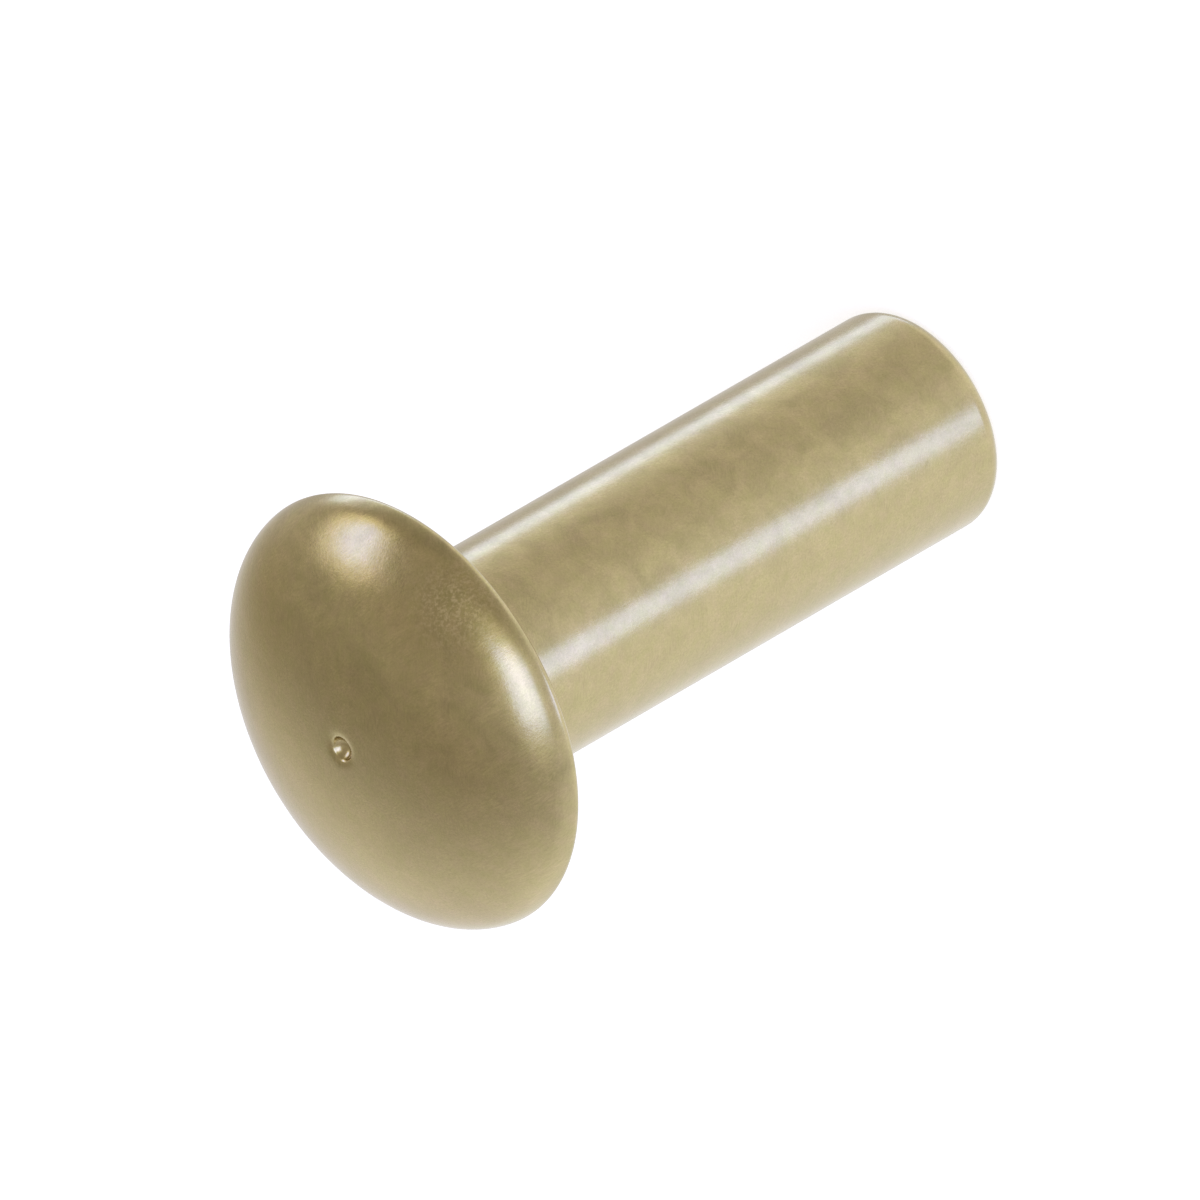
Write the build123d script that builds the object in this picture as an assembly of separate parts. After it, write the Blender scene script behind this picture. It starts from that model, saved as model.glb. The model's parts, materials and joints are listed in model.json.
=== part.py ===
"""Solid universal head rivet, cold-headed from one length of aluminium wire.

Millimetres. The rivet's axis is Z and the crown of its head points along +Z. The origin is
the centre of the bearing face, the flat ring under the head that seats on the sheet, so the
grip runs down -Z from zero and the shank ends at z = -shank_length.
"""
from build123d import *
from math import acos, atan2, cos, degrees, radians, sin, sqrt, tan
import os

# Shank: 1/8 in wire, 3/8 in long from the bearing face to the cut end.
shank_diameter = 3.175
shank_length = 9.525
shank_end_radius = 0.27       # the cut end's edge, tumbled round
under_head_radius = 0.10      # fillet between the shank and the bearing face

# Head: an elliptical dome that runs smoothly into a rounded rim.
head_diameter = 6.29          # at the rim's widest ring
head_height = 1.37            # bearing face to the crown, as if it had no dimple
rim_radius = 0.115
rim_slope = 8                 # degrees above level that the dome's surface faces where it meets the rim

# Dimple left in the crown by the heading die: the crown dishes gently and rolls over a lip into a
# round bowl, as a ball would press it. Tilts are degrees from level.
dimple_reach = 0.325          # radius where the crown starts to dish
dimple_dish_radius = 0.55
dimple_dish_tilt = 10
dimple_lip_radius = 0.05
dimple_wall_tilt = 68         # of the bowl's wall where it leaves the lip

# Values that follow from the sizes above.
shank_radius = shank_diameter / 2
head_radius = head_diameter / 2


def dome():
    """The dome's ellipse, tangent to the rim: half width, half height and its start in degrees."""
    slope = radians(rim_slope)
    rim_end = (head_radius - rim_radius + rim_radius * cos(slope), rim_radius + rim_radius * sin(slope))
    rise = head_height - rim_end[1]
    above_centre = rise**2 / (rim_end[0] / tan(slope) - 2 * rise)
    half_height = rise + above_centre
    half_width = half_height * sqrt(rim_end[0] * tan(slope) / above_centre)
    return half_width, half_height, degrees(atan2(above_centre / half_height, rim_end[0] / half_width))


def bend(start, facing_from, facing_to, radius):
    """An arc of the outline and its end. The surface turns from facing one way to facing another, in
    degrees from +X; a negative radius turns it about a centre outside the metal."""
    first, last = radians(facing_from), radians(facing_to)
    centre = (start[0] - radius * cos(first), start[1] - radius * sin(first))
    end = (centre[0] + radius * cos(last), centre[1] + radius * sin(last))
    start_angle = facing_from if radius > 0 else facing_from + 180
    return CenterArc(centre, abs(radius), start_angle, facing_to - facing_from), end


def half_section():
    """Half of the rivet's section in the XZ plane: radius along X, height along Z."""
    end_centre = (0, -shank_length)
    end_corner = (shank_radius - shank_end_radius, -shank_length)
    end_round, shank_foot = bend(end_corner, -90, 0, shank_end_radius)
    shank_top = (shank_radius, -under_head_radius)
    fillet_under_head, face_inner = bend(shank_top, 0, -90, -under_head_radius)
    face_outer = (head_radius - rim_radius, 0)
    rim, _ = bend(face_outer, -90, rim_slope, rim_radius)

    half_width, half_height, dome_start = dome()
    dome_centre = head_height - half_height
    reach = acos(dimple_reach / half_width)
    dome_arc = EllipticalCenterArc((0, dome_centre), half_width, half_height, dome_start,
                                   arc_size=degrees(reach) - dome_start)

    crown_edge = (dimple_reach, dome_centre + half_height * sin(reach))
    crown_facing = degrees(atan2(sin(reach) / half_height, cos(reach) / half_width))
    dish, lip_start = bend(crown_edge, crown_facing, 90 + dimple_dish_tilt, dimple_dish_radius)
    lip, bowl_edge = bend(lip_start, 90 + dimple_dish_tilt, 90 + dimple_wall_tilt, dimple_lip_radius)
    bowl_radius = bowl_edge[0] / sin(radians(dimple_wall_tilt))
    bowl, bowl_bottom = bend(bowl_edge, 90 + dimple_wall_tilt, 90, -bowl_radius)

    outline = [
        Line(end_centre, end_corner),
        end_round,
        Line(shank_foot, shank_top),
        fillet_under_head,
        Line(face_inner, face_outer),
        rim,
        dome_arc,
        dish,
        lip,
        bowl,
        Line((0, bowl_bottom[1]), end_centre),
    ]
    return Plane.XZ * make_face(outline)


os.makedirs("parts", exist_ok=True)
solid_rivet = revolve(half_section(), Axis.Z)
export_step(solid_rivet, "parts/solid_rivet.step")
print(f"solid_rivet: {solid_rivet.volume:.3f} mm3, valid {solid_rivet.is_valid}")
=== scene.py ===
"""Looks of the solid universal head rivet: a cold-headed aluminium rivet with an olive-gold coating.

Metres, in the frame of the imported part: Z is the rivet's axis, the crown of the head points along +Z,
the origin is the centre of the bearing face and the rivet stands on the cut end of its shank.
"""
import json
from math import acos, atan2, cos, degrees, pi, radians, sin, sqrt, tan

import bpy
from mathutils import Matrix, Quaternion, Vector


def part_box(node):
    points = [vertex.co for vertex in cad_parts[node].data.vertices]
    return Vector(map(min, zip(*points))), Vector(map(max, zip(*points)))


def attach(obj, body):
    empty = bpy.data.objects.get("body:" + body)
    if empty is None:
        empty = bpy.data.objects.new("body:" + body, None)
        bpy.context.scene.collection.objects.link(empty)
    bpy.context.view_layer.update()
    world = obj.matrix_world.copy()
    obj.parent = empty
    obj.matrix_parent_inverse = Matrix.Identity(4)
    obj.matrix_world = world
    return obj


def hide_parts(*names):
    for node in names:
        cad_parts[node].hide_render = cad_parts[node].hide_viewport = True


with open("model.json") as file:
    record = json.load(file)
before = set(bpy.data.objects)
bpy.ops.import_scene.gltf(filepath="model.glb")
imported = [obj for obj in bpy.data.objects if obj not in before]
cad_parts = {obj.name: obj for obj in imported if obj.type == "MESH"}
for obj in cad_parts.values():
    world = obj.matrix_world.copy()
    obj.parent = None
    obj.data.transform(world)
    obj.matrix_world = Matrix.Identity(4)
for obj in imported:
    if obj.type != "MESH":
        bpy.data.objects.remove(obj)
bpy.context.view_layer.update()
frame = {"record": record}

MM = 0.001
NODE = "solid_rivet"
WHITE = (1, 1, 1, 1)

# Sizes of the rivet, from the frame where it holds them. Angles are in degrees.
low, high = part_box(NODE)
mounts = {mount["name"]: mount for mount in frame["record"]["mounts"]}
SHANK_RADIUS = mounts["shank"]["dims"]["r_mm"] * MM
SHANK_END_HEIGHT = low.z
SHANK_END_RADIUS = 0.27 * MM
UNDER_HEAD_RADIUS = 0.10 * MM
HEAD_RADIUS = high.x
HEAD_HEIGHT = 1.37 * MM      # to the crown, as if it had no dimple
RIM_RADIUS = 0.115 * MM
RIM_SLOPE = 8                # above level, where the dome meets the rim
DIMPLE_REACH = 0.325 * MM    # radius where the crown starts to dish
DIMPLE_DISH_RADIUS = 0.55 * MM
DIMPLE_DISH_TILT = 10
DIMPLE_LIP_RADIUS = 0.05 * MM
DIMPLE_WALL_TILT = 68        # of the bowl's wall where it leaves the lip

SEGMENTS = 384               # round the axis

# The picture: an isometric look at the crown, with the rivet lying on its side in the frame.
VIEW_DIRECTION = Vector((1, -1, 1)).normalized()     # from the rivet to the camera
PICTURE_UP = Vector((1, 0, 0))
VIEW_TARGET = Vector((0, 0, -3.48 * MM))
VIEW_DISTANCE = 720 * MM
PICTURE_WIDTH = 15.92 * MM   # what the picture's width covers at the rivet
SENSOR_WIDTH = 36.0
CLIP_START = 10 * MM
CLIP_END = 10

# The coating. Its lengths are in millimetres, and azimuths are in degrees from the camera's side.
CLOUD_SIZE = 0.75            # slow changes of gloss and level
BLOTCH_SIZE = 0.50           # of shade
HUE_SIZE = 0.22
PIT_SIZE = 0.09
GLINT_FLECK_SIZE = 0.055           # in the patch of painted glints
GRAIN_SIZE = 0.030
STROKE_LENGTH = 0.16         # of a rub mark
STROKE_WIDTH = 0.024
STROKE_TURNS = ((0, 12, 10), (0, 38, 75), (0, -30, 135))     # the directions rubbed in, about X, Y and Z
FIRST_PATCH_SIZE = 0.35      # of the patches that differ in how they are rubbed
SECOND_PATCH_SIZE = 0.50
PATCH_EDGE = (0.42, 0.58)    # the noise where one such patch gives way to the next
CLOUDY_RANGE = (0.32, 0.68)  # the noise that blotches and clouds mostly keep to
FINE_RANGE = (0.3, 0.7)      # that of rub marks and grain

OLIVE, OLIVE_HUE = (0.510, 0.441, 0.209, 1), 0.34
TAN, TAN_HUE = (0.547, 0.446, 0.239, 1), 0.66
GLINT_FLECK_COLOUR = (0.78, 0.67, 0.40, 1)
FAINT_BLOTCHES = (0.97, 1.03)
STRONG_BLOTCHES = (0.90, 1.10)
RUBBED_SHADES = (0.93, 1.07)
GRAINY_SHADES = (0.95, 1.05)
DARK_BAND_MOTTLE_AZIMUTH = 27           # the side where the blotches are strongest, which reflects the studio's dark band: painted mottled reflection on top of the coating's own blotches
DARK_BAND_MOTTLE_SPREAD = (0.4, 1.4)    # where the strong blotches start and are full, toward that side
GLINT_PATCH_AZIMUTH = 18           # pale flecks near the edge of the head, beside its highlight: painted glints, partly scuffs
GLINT_PATCH_RADIUS = 2.91          # of its middle, from the axis
GLINT_PATCH_HEIGHT = 0.57
GLINT_PATCH_FADE = (0.10, 0.75)    # from its middle
GLINT_PATCH_STRENGTH = 0.8
GLINT_FLECK_RANGE = (0.45, 0.65)   # the noise where a fleck starts and is full

SATIN_ROUGHNESS = (0.22, 0.25)
RUBBED_ROUGHNESS = (-0.005, 0.015)       # added by the rub marks
BURNISHED_ROUGHNESS = 0.22
CLOUD_RELIEF = 0.0045
PIT_RELIEF = 0.0006
RUB_RELIEF = 0.0006
GRAIN_RELIEF = (0.0010, 0.0002)          # on the head and on the shank
DIMPLE_FADE = (0.19, 0.25)   # from the crown, where the burnished dimple gives way to the dome
RIM_FADE = (3.20, 3.32)      # from the crown, where the dome gives way to the smooth rim
NECK_FADE = (0.0, 0.1)       # below the bearing face, where the shank's finish starts

# The studio. Azimuths, elevations, half sizes and rolls are in degrees as the rivet sees them, and
# radiance is per colour. A fit of the lighting to the photograph's shading gave the first values of the
# softboxes, the base glow and the first four glows. The softboxes were then adjusted and the other
# glows added one by one.
SOFTBOX_DISTANCE = 250 * MM
# name, shape, azimuth, elevation, half width, half height, roll, radiance
SOFTBOXES = [
    ("softbox_right", "RECTANGLE", -19.6, 30.0, 17.1, 22.6, -5.8, (0.49, 0.69, 2.32)),
    ("softbox_right_core", "ELLIPSE", -10.0, 28.9, 9.1, 15.7, 51.3, (0.41, 0.42, 0.85)),
    ("softbox_left", "ELLIPSE", 104.3, 29.5, 17.2, 27.1, -34.9, (0.82, 0.79, 0.66)),
    ("softbox_left_core", "ELLIPSE", 104.2, 32.2, 8.7, 18.2, -40.1, (0.35, 0.61, 2.50)),
    ("softbox_low_right", "ELLIPSE", -29.8, -32.0, 9.4, 13.5, 8.0, (0.56, 0.78, 2.20)),
    ("softbox_low_left", "ELLIPSE", 117.6, -34.0, 7.2, 22.0, 3.2, (0.65, 0.88, 1.90)),
]
SHELL_RADIUS = 400 * MM
SHELL_BANDS = 24             # from its bottom to its top
SHELL_SEGMENTS = 48
BASE_GLOW = (0.159, 0.086, 0.0)
# azimuth, elevation, the cosines at which a glow starts and is full, and its radiance. A negative one
# is a dark card.
STUDIO_GLOWS = [
    (-131.0, -55.8, -0.579, 0.738, (0.601, 0.657, 0.784)),
    (-101.3, -11.6, -0.500, 0.500, (0.299, 0.339, 0.416)),
    (58.5, 20.0, -0.151, 0.331, (0.269, 0.296, 0.333)),
    (-15.6, 31.2, 0.739, 1.141, (0.926, 1.006, 0.626)),
    (111.0, -20.0, 0.950, 0.992, (0.240, 0.300, 0.420)),
    (-80.0, 0.0, 0.780, 0.970, (-0.130, -0.140, -0.150)),
    (-176.0, -8.0, 0.930, 0.990, (-0.080, -0.100, -0.090)),
    (157.0, -42.0, 0.880, 0.985, (-0.110, -0.120, -0.150)),
    (165.0, 42.0, 0.860, 0.980, (0.030, 0.045, 0.050)),
    (-173.0, 12.0, 0.930, 0.990, (0.055, 0.050, 0.020)),
    (160.0, 12.0, 0.930, 0.990, (-0.015, -0.020, -0.060)),
    (64.0, -8.0, 0.930, 0.990, (-0.050, -0.040, -0.030)),
    (100.0, -37.0, 0.950, 0.995, (0.110, 0.120, 0.120)),
    (68.0, -40.0, 0.930, 0.990, (-0.030, -0.040, -0.040)),
    (60.0, -66.0, 0.900, 0.970, (0.130, 0.130, 0.110)),
    (-148.0, 0.0, 0.930, 0.990, (-0.080, -0.110, -0.080)),
    (-122.0, -37.0, 0.900, 0.990, (-0.050, -0.050, -0.040)),
]
FLOOR_HALF_WIDTH = 2.0
FLOOR_COLOUR = (0.8, 0.8, 0.8, 1)
FLOOR_GLOW = 0.6             # with the lamps' light, it makes the floor white


# ---------------------------------------------------------------- the rivet's mesh

def bend(start, facing_from, facing_to, radius, steps):
    """Points of a round stretch of the outline, without its first one. The surface turns from facing one way
    to facing another, in degrees from +X; a negative radius turns it about a centre outside the metal."""
    first, last = radians(facing_from), radians(facing_to)
    centre = (start[0] - radius * cos(first), start[1] - radius * sin(first))
    angles = [first + (last - first) * i / steps for i in range(1, steps + 1)]
    return [(centre[0] + radius * cos(angle), centre[1] + radius * sin(angle)) for angle in angles]


def straight(start, stop, steps):
    """Points of a straight stretch of the outline, without its first one."""
    shares = [i / steps for i in range(1, steps + 1)]
    return [(start[0] + (stop[0] - start[0]) * s, start[1] + (stop[1] - start[1]) * s) for s in shares]


def dome(rim_end, steps):
    """Points of the dome, without its first one: an ellipse that leaves the rim smoothly and stops where the
    crown starts to dish. Also the way that the surface faces there, in degrees from +X."""
    slope = radians(RIM_SLOPE)
    rise = HEAD_HEIGHT - rim_end[1]
    above_centre = rise ** 2 / (rim_end[0] / tan(slope) - 2 * rise)
    half_height = rise + above_centre
    half_width = half_height * sqrt(rim_end[0] * tan(slope) / above_centre)
    first = atan2(above_centre / half_height, rim_end[0] / half_width)
    last = acos(DIMPLE_REACH / half_width)
    angles = [first + (last - first) * i / steps for i in range(1, steps + 1)]
    points = [(half_width * cos(a), HEAD_HEIGHT - half_height + half_height * sin(a)) for a in angles]
    return points, degrees(atan2(sin(last) / half_height, cos(last) / half_width))


def rivet_outline():
    """Half the rivet's section as (radius, height) points, from the shank's end to the dimple's bottom."""
    end_corner = (SHANK_RADIUS - SHANK_END_RADIUS, SHANK_END_HEIGHT)
    shank_top = (SHANK_RADIUS, -UNDER_HEAD_RADIUS)
    face_outer = (HEAD_RADIUS - RIM_RADIUS, 0.0)
    dish_end = 90 + DIMPLE_DISH_TILT
    lip_end = 90 + DIMPLE_WALL_TILT

    outline = [(0.0, SHANK_END_HEIGHT)]
    outline += straight(outline[-1], end_corner, steps=12)
    outline += bend(outline[-1], -90, 0, SHANK_END_RADIUS, steps=14)
    outline += straight(outline[-1], shank_top, steps=60)
    outline += bend(outline[-1], 0, -90, -UNDER_HEAD_RADIUS, steps=8)
    outline += straight(outline[-1], face_outer, steps=10)
    outline += bend(outline[-1], -90, RIM_SLOPE, RIM_RADIUS, steps=16)
    dome_points, dome_facing = dome(outline[-1], steps=84)
    outline += dome_points
    outline += bend(outline[-1], dome_facing, dish_end, DIMPLE_DISH_RADIUS, steps=8)
    outline += bend(outline[-1], dish_end, lip_end, DIMPLE_LIP_RADIUS, steps=10)
    bowl_radius = outline[-1][0] / sin(radians(DIMPLE_WALL_TILT))
    outline += bend(outline[-1], lip_end, 90, -bowl_radius, steps=18)
    return [(radius, min(height, high.z)) for radius, height in outline]     # inside the part's own box


def turned_mesh(name, outline, segments):
    """A closed mesh turned about Z from an outline whose first and last points lie on the axis."""
    turns = [(cos(2 * pi * i / segments), sin(2 * pi * i / segments)) for i in range(segments)]
    vertices = [(0, 0, outline[0][1])]
    for radius, height in outline[1:-1]:
        vertices += [(radius * c, radius * s, height) for c, s in turns]
    vertices.append((0, 0, outline[-1][1]))

    rings = len(outline) - 2
    last = len(vertices) - 1
    faces = []
    for i in range(segments):
        j = (i + 1) % segments
        faces.append((0, 1 + j, 1 + i))
        for ring in range(rings - 1):
            before, after = 1 + ring * segments, 1 + (ring + 1) * segments
            faces.append((before + i, before + j, after + j, after + i))
        top = 1 + (rings - 1) * segments
        faces.append((top + i, top + j, last))
    mesh = bpy.data.meshes.new(name)
    mesh.from_pydata(vertices, [], faces)
    mesh.polygons.foreach_set("use_smooth", [True] * len(faces))
    mesh.update()
    return mesh


def add_object(name, data):
    """An object with this data, linked into the scene."""
    added = bpy.data.objects.new(name, data)
    bpy.context.scene.collection.objects.link(added)
    return added


def compass(azimuth, elevation):
    """Direction from the rivet, in degrees: azimuth round Z from the camera's side, elevation from level."""
    side = Vector((VIEW_DIRECTION.x, VIEW_DIRECTION.y, 0)).normalized()
    turned = Matrix.Rotation(radians(azimuth), 3, "Z") @ side
    return turned * cos(radians(elevation)) + Vector((0, 0, sin(radians(elevation))))


# ---------------------------------------------------------------- shader nodes

def new_material(name):
    """A material with its own node tree."""
    material = bpy.data.materials.new(name)
    material.use_nodes = True
    return material


def add_node(tree, kind, inputs=None, **settings):
    """Adds a node, sets its options, and feeds its inputs from numbers or from other nodes' outputs."""
    added = tree.nodes.new(kind)
    for name, value in settings.items():
        setattr(added, name, value)
    for name, value in (inputs or {}).items():
        if isinstance(value, bpy.types.NodeSocket):
            tree.links.new(value, added.inputs[name])
        else:
            added.inputs[name].default_value = value
    return added


def mapped(tree, value, results, source=(0.0, 1.0), **settings):
    """A value carried from its source range to the range of the results, and held at its ends."""
    inputs = {"Value": value}
    inputs["From Min"], inputs["From Max"] = source
    inputs["To Min"], inputs["To Max"] = results
    return add_node(tree, "ShaderNodeMapRange", inputs, **settings).outputs["Result"]


def rising(tree, value, source, **settings):
    """A share that rises from 0 to 1 while the value goes through its source range."""
    return mapped(tree, value, (0.0, 1.0), source, **settings)


def falling(tree, value, source):
    """A share that falls from 1 to 0 while the value goes through its source range."""
    return mapped(tree, value, (1.0, 0.0), source)


def calculated(tree, operation, *values):
    """The result of a calculation with numbers."""
    return add_node(tree, "ShaderNodeMath", dict(enumerate(values)), operation=operation).outputs["Value"]


def vector_calculated(tree, operation, *values, output="Vector"):
    """The result of a calculation with vectors or colours."""
    node = add_node(tree, "ShaderNodeVectorMath", dict(enumerate(values)), operation=operation)
    return node.outputs[output]


def scaled(tree, vector, scale):
    """A vector or colour times a number."""
    node = add_node(tree, "ShaderNodeVectorMath", {0: vector, "Scale": scale}, operation="SCALE")
    return node.outputs["Vector"]


def blended(tree, share, first, second):
    """One number going over to another."""
    return add_node(tree, "ShaderNodeMix", {"Factor": share, "A": first, "B": second}).outputs["Result"]


def blended_colours(tree, share, first, second):
    """One colour going over to another. A Mix node has its colours at inputs 6 and 7 and output 2."""
    node = add_node(tree, "ShaderNodeMix", {"Factor": share, 6: first, 7: second}, data_type="RGBA")
    return node.outputs[2]


def noise(tree, place, size, detail=2.0, roughness=0.5, distortion=0.0):
    """Cloudy noise from 0 to 1, whose patches are about this many millimetres across."""
    inputs = {
        "Vector": place,
        "Scale": 1 / size,
        "Detail": detail,
        "Roughness": roughness,
        "Distortion": distortion,
    }
    return add_node(tree, "ShaderNodeTexNoise", inputs).outputs["Fac"]


# ---------------------------------------------------------------- the coating

def strokes(tree, place, turn):
    """Short straight marks that all run one way, turned by these degrees about X, Y and Z from the X axis."""
    inputs = {
        "Vector": place,
        "Rotation": [radians(angle) for angle in turn],
        "Scale": (STROKE_LENGTH, STROKE_WIDTH, STROKE_WIDTH),
    }
    turned = add_node(tree, "ShaderNodeMapping", inputs, vector_type="TEXTURE")
    return noise(tree, turned.outputs["Vector"], 1.0, detail=1.5, roughness=0.6)


def tumbled(tree, place):
    """Rub marks from tumbling: each patch of the surface has its own mixture of three directions."""
    first, second, third = [strokes(tree, place, turn) for turn in STROKE_TURNS]
    first_patches = rising(tree, noise(tree, place, FIRST_PATCH_SIZE), PATCH_EDGE)
    second_patches = rising(tree, noise(tree, place, SECOND_PATCH_SIZE), PATCH_EDGE)
    return blended(tree, second_patches, blended(tree, first_patches, first, second), third)


def coating_colour(tree, place, grain, rub):
    """Olive and tan in blotches, painted stronger on the side that reflects the studio's dark band as mottled
    reflection, with pale flecks beside the head's highlight that are painted glints, partly scuffs."""
    hue = noise(tree, place, HUE_SIZE, detail=5.0, roughness=0.72)
    tint = add_node(tree, "ShaderNodeValToRGB", {"Fac": hue})
    olive, tan_end = tint.color_ramp.elements
    olive.position, olive.color = OLIVE_HUE, OLIVE
    tan_end.position, tan_end.color = TAN_HUE, TAN

    blotches = noise(tree, place, BLOTCH_SIZE, detail=3.0, roughness=0.6, distortion=0.6)
    # Painted mottled reflection: the blotches grow stronger toward the side that reflects the studio's dark
    # band.
    toward_dark_band_mottle = vector_calculated(tree, "DOT_PRODUCT", place, compass(DARK_BAND_MOTTLE_AZIMUTH, 0), output="Value")
    dark_band_mottle_share = rising(tree, toward_dark_band_mottle, DARK_BAND_MOTTLE_SPREAD)
    faint = mapped(tree, blotches, FAINT_BLOTCHES, CLOUDY_RANGE)
    strong = mapped(tree, blotches, STRONG_BLOTCHES, CLOUDY_RANGE)
    rubbed = mapped(tree, rub, RUBBED_SHADES, FINE_RANGE)
    grainy = mapped(tree, grain, GRAINY_SHADES, FINE_RANGE)
    shade = calculated(tree, "MULTIPLY", blended(tree, dark_band_mottle_share, faint, strong), rubbed)
    colour = scaled(tree, tint.outputs["Color"], calculated(tree, "MULTIPLY", shade, grainy))

    # Painted glints: pale flecks beside the head's highlight, partly a scuffed patch.
    glint_patch_middle = compass(GLINT_PATCH_AZIMUTH, 0) * GLINT_PATCH_RADIUS + Vector((0, 0, GLINT_PATCH_HEIGHT))
    from_glint_patch = vector_calculated(tree, "DISTANCE", place, glint_patch_middle, output="Value")
    glint_flecks = rising(tree, noise(tree, place, GLINT_FLECK_SIZE, detail=2.0, roughness=0.7), GLINT_FLECK_RANGE)
    glints_and_scuffs = calculated(tree, "MULTIPLY", falling(tree, from_glint_patch, GLINT_PATCH_FADE), glint_flecks)
    return blended_colours(tree, calculated(tree, "MULTIPLY", glints_and_scuffs, GLINT_PATCH_STRENGTH), colour, GLINT_FLECK_COLOUR)


def coated_aluminium():
    """Satin aluminium under a thin olive-gold coating, blotchy in colour and finely rubbed from tumbling."""
    material = new_material("olive_gold_coating")
    tree = material.node_tree
    shader = tree.nodes["Principled BSDF"]
    shader.inputs["Metallic"].default_value = 1.0

    coordinates = add_node(tree, "ShaderNodeTexCoord")
    place = scaled(tree, coordinates.outputs["Object"], 1 / MM)      # millimetres
    from_crown = vector_calculated(tree, "DISTANCE", place, (0, 0, HEAD_HEIGHT / MM), output="Value")
    below_face = vector_calculated(tree, "DOT_PRODUCT", place, (0, 0, -1), output="Value")
    clouds = noise(tree, place, CLOUD_SIZE, detail=3.0, roughness=0.55, distortion=0.4)
    grain = noise(tree, place, GRAIN_SIZE, detail=2.0, roughness=0.7)
    rub = tumbled(tree, place)
    tree.links.new(coating_colour(tree, place, grain, rub), shader.inputs["Base Color"])

    # Gloss: the dimple stays burnished by the die's pin, where the tumbling media can't reach.
    satin = mapped(tree, clouds, SATIN_ROUGHNESS, CLOUDY_RANGE)
    rubbed_satin = calculated(tree, "ADD", satin, mapped(tree, rub, RUBBED_ROUGHNESS, FINE_RANGE))
    outside_dimple = rising(tree, from_crown, DIMPLE_FADE)
    gloss = blended(tree, outside_dimple, BURNISHED_ROUGHNESS, rubbed_satin)
    tree.links.new(gloss, shader.inputs["Roughness"])

    # Relief, in millimetres. The rim, like the dimple, is too tightly curved to be rubbed.
    pits = noise(tree, place, PIT_SIZE, detail=2.0, roughness=0.6)
    waves = calculated(tree, "MULTIPLY", clouds, CLOUD_RELIEF)
    pitted = calculated(tree, "MULTIPLY_ADD", pits, PIT_RELIEF, waves)
    grain_relief = mapped(tree, below_face, GRAIN_RELIEF, NECK_FADE)
    speckled = calculated(tree, "MULTIPLY_ADD", grain, grain_relief, pitted)
    height = calculated(tree, "MULTIPLY_ADD", rub, RUB_RELIEF, speckled)
    inside_rim = falling(tree, from_crown, RIM_FADE)
    on_shank = rising(tree, below_face, NECK_FADE)
    not_on_rim = calculated(tree, "MAXIMUM", inside_rim, on_shank)
    rubbed_places = calculated(tree, "MULTIPLY", outside_dimple, not_on_rim)
    relief = calculated(tree, "MULTIPLY", height, rubbed_places)
    bump = add_node(tree, "ShaderNodeBump", {"Height": relief, "Strength": 1.0, "Distance": MM})
    tree.links.new(bump.outputs["Normal"], shader.inputs["Normal"])
    return material


# ---------------------------------------------------------------- studio

def add_softbox(name, shape, azimuth, elevation, half_width, half_height, roll, radiance):
    """A softbox that faces the rivet and that the camera doesn't see."""
    lamp = bpy.data.lights.new(name, "AREA")
    lamp.shape = shape
    lamp.size = 2 * SOFTBOX_DISTANCE * tan(radians(half_width))
    lamp.size_y = 2 * SOFTBOX_DISTANCE * tan(radians(half_height))
    area = lamp.size * lamp.size_y * (pi / 4 if shape == "ELLIPSE" else 1)
    brightest = max(radiance)
    lamp.color = [channel / brightest for channel in radiance]
    lamp.energy = brightest * pi * area
    softbox = add_object(name, lamp)
    direction = compass(azimuth, elevation)
    softbox.location = direction * SOFTBOX_DISTANCE
    turn = direction.to_track_quat("Z", "Y") @ Quaternion((0, 0, 1), radians(roll))
    softbox.rotation_euler = turn.to_euler()
    softbox.visible_camera = False


def surroundings_glow():
    """A material that shines by direction from the shell's middle."""
    material = new_material("studio_surroundings")
    material.cycles.emission_sampling = "NONE"     # the reflections find the shell by themselves
    tree = material.node_tree
    coordinates = add_node(tree, "ShaderNodeTexCoord")
    outward = vector_calculated(tree, "NORMALIZE", coordinates.outputs["Object"])
    glow = BASE_GLOW
    for azimuth, elevation, start, full, radiance in STUDIO_GLOWS:
        toward = vector_calculated(tree, "DOT_PRODUCT", outward, compass(azimuth, elevation), output="Value")
        share = rising(tree, toward, (start, full), interpolation_type="SMOOTHSTEP")
        glow = vector_calculated(tree, "MULTIPLY_ADD", share, radiance, glow)
    emission = add_node(tree, "ShaderNodeEmission", {"Color": glow, "Strength": 1.0})
    tree.links.new(emission.outputs["Emission"], tree.nodes["Material Output"].inputs["Surface"])
    return material


def add_surroundings():
    """A shell round the studio, for the metal to reflect. The camera looks through it."""
    heights = [radians(180 * i / SHELL_BANDS - 90) for i in range(SHELL_BANDS + 1)]
    outline = [(SHELL_RADIUS * cos(height), SHELL_RADIUS * sin(height)) for height in heights]
    shell = add_object("surroundings", turned_mesh("surroundings", outline, SHELL_SEGMENTS))
    shell.visible_camera = False
    shell.data.materials.append(surroundings_glow())


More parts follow.
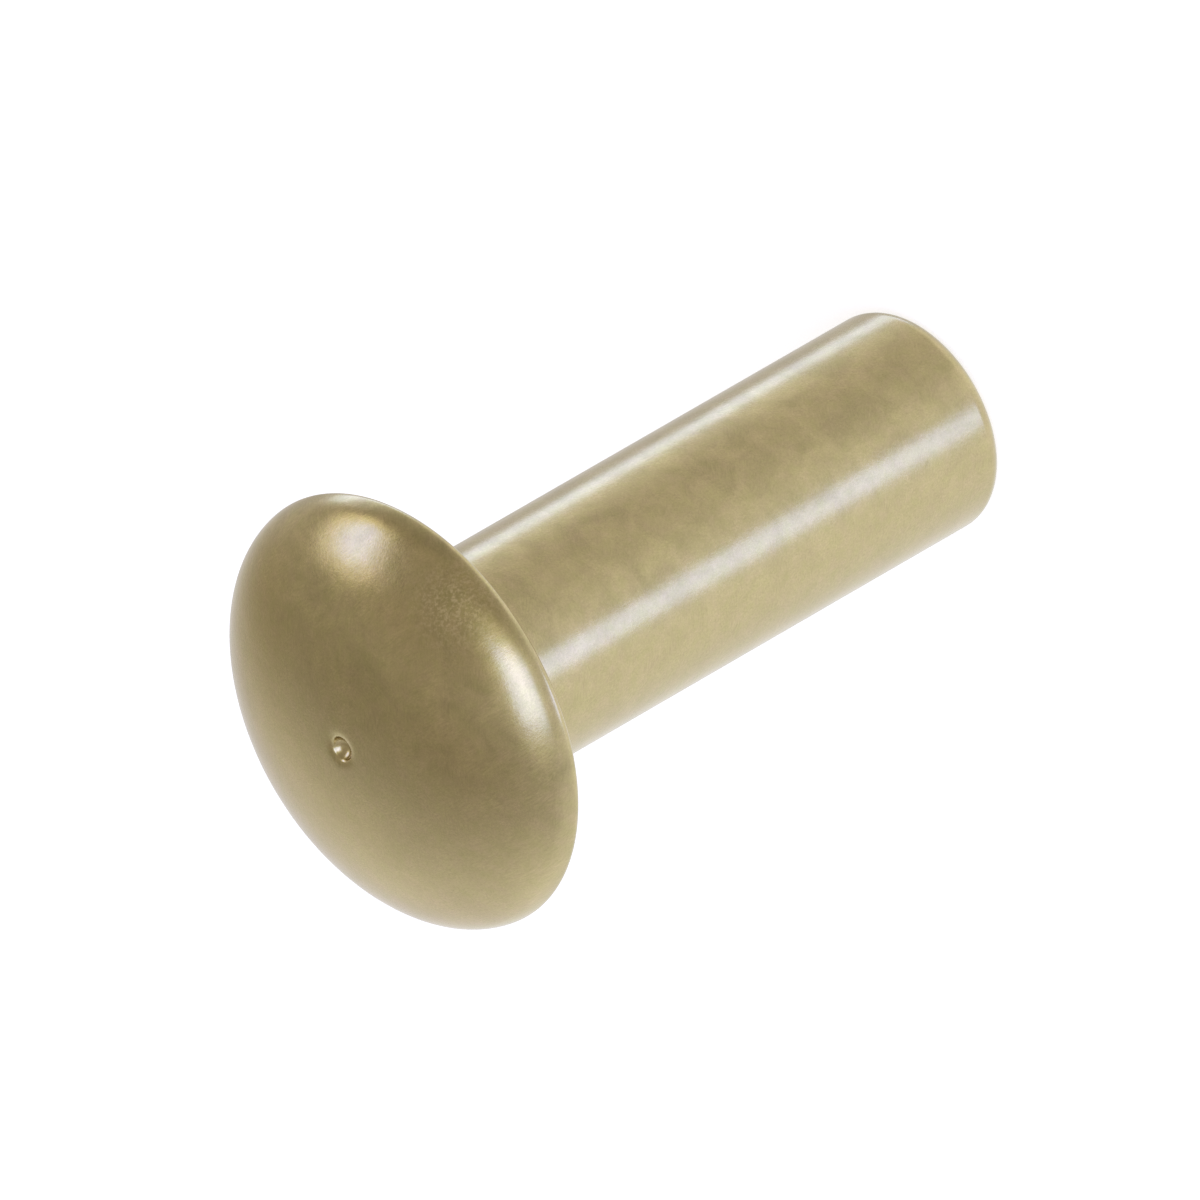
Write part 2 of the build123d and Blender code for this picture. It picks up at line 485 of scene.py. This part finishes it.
def white_world():
    """The white that the camera sees beyond the floor."""
    world = bpy.data.worlds.new("white")
    bpy.context.scene.world = world
    world.use_nodes = True
    world.node_tree.nodes["Background"].inputs["Color"].default_value = WHITE
    world.cycles.sampling_method = "NONE"          # the shell keeps its light off the rivet


def add_floor():
    """A plain white floor under the shank's end. Reflections see the studio instead of the floor."""
    corners = [(-1, -1), (1, -1), (1, 1), (-1, 1)]
    mesh = bpy.data.meshes.new("floor")
    vertices = [(x * FLOOR_HALF_WIDTH, y * FLOOR_HALF_WIDTH, 0) for x, y in corners]
    mesh.from_pydata(vertices, [], [(0, 1, 2, 3)])
    floor = add_object("floor", mesh)
    floor.location.z = low.z
    floor.visible_glossy = False
    floor.visible_shadow = False
    material = new_material("white_floor")
    shader = material.node_tree.nodes["Principled BSDF"]
    shader.inputs["Base Color"].default_value = FLOOR_COLOUR
    shader.inputs["Roughness"].default_value = 1.0
    shader.inputs["Specular IOR Level"].default_value = 0.0
    shader.inputs["Emission Color"].default_value = WHITE
    shader.inputs["Emission Strength"].default_value = FLOOR_GLOW
    mesh.materials.append(material)


def add_camera():
    """The photograph's camera."""
    camera = bpy.data.cameras.new("camera")
    camera.sensor_width = SENSOR_WIDTH
    camera.lens = SENSOR_WIDTH * VIEW_DISTANCE / PICTURE_WIDTH
    camera.clip_start = CLIP_START
    camera.clip_end = CLIP_END
    placed = add_object("camera", camera)
    right = PICTURE_UP.cross(VIEW_DIRECTION).normalized()
    up = VIEW_DIRECTION.cross(right)
    turn = Matrix((right, up, VIEW_DIRECTION)).transposed()
    placed.matrix_world = Matrix.Translation(VIEW_TARGET + VIEW_DIRECTION * VIEW_DISTANCE) @ turn.to_4x4()
    bpy.context.scene.camera = placed


# ---------------------------------------------------------------- the scene

rivet = add_object("rivet", turned_mesh("rivet", rivet_outline(), SEGMENTS))
rivet.data.materials.append(coated_aluminium())
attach(rivet, "root")
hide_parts(NODE)

for softbox_values in SOFTBOXES:
    add_softbox(*softbox_values)
add_surroundings()
white_world()
add_floor()
add_camera()
bpy.context.scene.view_settings.view_transform = "Standard"
